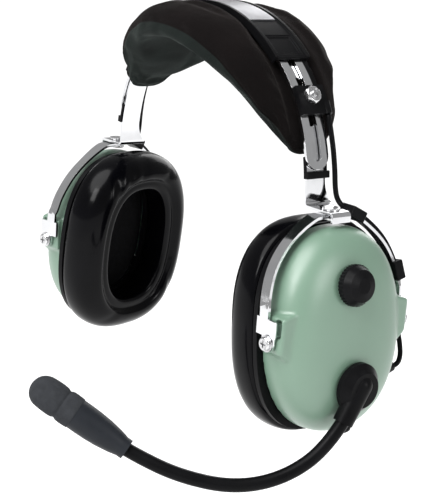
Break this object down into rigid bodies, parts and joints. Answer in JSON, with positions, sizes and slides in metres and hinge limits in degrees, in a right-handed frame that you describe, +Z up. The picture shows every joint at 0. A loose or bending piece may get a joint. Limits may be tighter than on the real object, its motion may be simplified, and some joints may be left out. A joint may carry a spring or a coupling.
{
  "type": "aviation headset",
  "caption": "Passive aviation headset with two green domed ear cups, gel seals, a padded sprung headband and a flexible boom microphone.",
  "frame": {"origin": "crown rest: the middle of the head pad's underside, where it sits on the head", "axes": "+Z up, +X to the wearer's left ear (the boom side), -Y the way the wearer faces"},
  "size_m": [0.2513, 0.178, 0.2146],
  "materials": {
    "chrome_steel": "polished",
    "black_moulding": "matte",
    "blank_plate": "satin",
    "pad_fabric": "napped",
    "cable_jacket": "satin",
    "fastener_steel": "bright",
    "green_dome": "semi-gloss",
    "seal_skin": "glossy",
    "grey_foam": "open-cell",
    "circuit_board": "lacquered",
    "brass_parts": "satin"
  },
  "bodies": {
    "headband": {"headband_spring": "chrome_steel", "headband_cover": "black_moulding", "cover_plate": "blank_plate", "head_pad": "pad_fabric", "crossover_cable_crown": "cable_jacket", "arm_collar_left": "black_moulding", "arm_collar_right": "black_moulding"},
    "arm_left": {"slide_arm_left": "chrome_steel", "clamp_block_left": "black_moulding", "lock_screw_left": "fastener_steel", "lock_nut_left": "fastener_steel", "cable_guide_left": "black_moulding", "crossover_cable_arm_left": "cable_jacket", "swivel_rivet_left": "fastener_steel"},
    "cup_left": {"dome_left": "green_dome", "baffle_plate_left": "black_moulding", "ear_seal_left": "seal_skin", "cup_foam_left": "grey_foam", "ear_driver_left": "black_moulding", "pivot_screws_left": "fastener_steel", "pivot_washers_left": "fastener_steel", "crossover_gland_left": "cable_jacket", "crossover_cable_drop_left": "cable_jacket", "terminal_board_left": "circuit_board", "main_cord_gland": "cable_jacket", "volume_control_body": "fastener_steel", "volume_control_nut": "brass_parts", "boom_friction_washer": "fastener_steel"},
    "arm_right": {"slide_arm_right": "chrome_steel", "clamp_block_right": "black_moulding", "lock_screw_right": "fastener_steel", "lock_nut_right": "fastener_steel", "cable_guide_right": "black_moulding", "crossover_cable_arm_right": "cable_jacket", "swivel_rivet_right": "fastener_steel"},
    "cup_right": {"dome_right": "green_dome", "baffle_plate_right": "black_moulding", "ear_seal_right": "seal_skin", "cup_foam_right": "grey_foam", "ear_driver_right": "black_moulding", "pivot_screws_right": "fastener_steel", "pivot_washers_right": "fastener_steel", "crossover_gland_right": "cable_jacket", "crossover_cable_drop_right": "cable_jacket"},
    "fork_left": {"stirrup_left": "chrome_steel", "cable_clamp_left": "black_moulding", "cable_clip_left": "black_moulding", "crossover_cable_stirrup_left": "cable_jacket"},
    "fork_right": {"stirrup_right": "chrome_steel", "cable_clamp_right": "black_moulding", "cable_clip_right": "black_moulding", "crossover_cable_stirrup_right": "cable_jacket"},
    "volume_turner": {"volume_knob": "black_moulding", "volume_shaft": "fastener_steel"},
    "boom": {"boom_hub": "black_moulding", "boom_hub_nut": "brass_parts", "boom_tube": "black_moulding"},
    "microphone": {"mic_housing": "black_moulding", "mic_capsule": "fastener_steel", "mic_muff": "grey_foam"}
  },
  "joints": [
    {"name": "arm_slide_left", "type": "hinge", "parent": "headband", "child": "arm_left", "pos_m": [0, 0, -0.0655], "axis": [0, 1, 0], "range_deg": [0, 14]},
    {"name": "arm_slide_right", "type": "hinge", "parent": "headband", "child": "arm_right", "pos_m": [0, 0, -0.0655], "axis": [0, -1, 0], "range_deg": [0, 14]},
    {"name": "stirrup_swivel_left", "type": "hinge", "parent": "arm_left", "child": "fork_left", "pos_m": [0.0928, 0, -0.07], "axis": [0, 0, 1], "range_deg": [-15, 15], "deforming": ["crossover_cable_arm_left"]},
    {"name": "stirrup_swivel_right", "type": "hinge", "parent": "arm_right", "child": "fork_right", "pos_m": [-0.0928, 0, -0.07], "axis": [0, 0, -1], "range_deg": [-3, 27], "deforming": ["crossover_cable_arm_right"]},
    {"name": "cup_tilt_left", "type": "hinge", "parent": "fork_left", "child": "cup_left", "pos_m": [0.104, 0, -0.1253], "axis": [0, 1, 0], "range_deg": [-6, 3], "deforming": ["crossover_cable_drop_left"]},
    {"name": "cup_tilt_right", "type": "hinge", "parent": "fork_right", "child": "cup_right", "pos_m": [-0.10376, -0.00233, -0.1253], "axis": [0.2079, -0.9781, 0], "range_deg": [-6, 3], "deforming": ["crossover_cable_drop_right"]},
    {"name": "volume_turn", "type": "hinge", "parent": "cup_left", "child": "volume_turner", "pos_m": [0.11491, -0.003, -0.09954], "axis": [0.9822, 0, 0.1879], "range_deg": [-135, 135]},
    {"name": "boom_swing", "type": "hinge", "parent": "cup_left", "child": "boom", "pos_m": [0.11966, 0, -0.14841], "axis": [1, 0, 0.0058], "range_deg": [-50, 100]},
    {"name": "boom_flex", "type": "hinge", "parent": "boom", "child": "microphone", "pos_m": [0.107, -0.0575, -0.1926], "axis": [0, 0, 1], "range_deg": [-15, 15], "deforming": ["boom_tube"]}
  ]
}
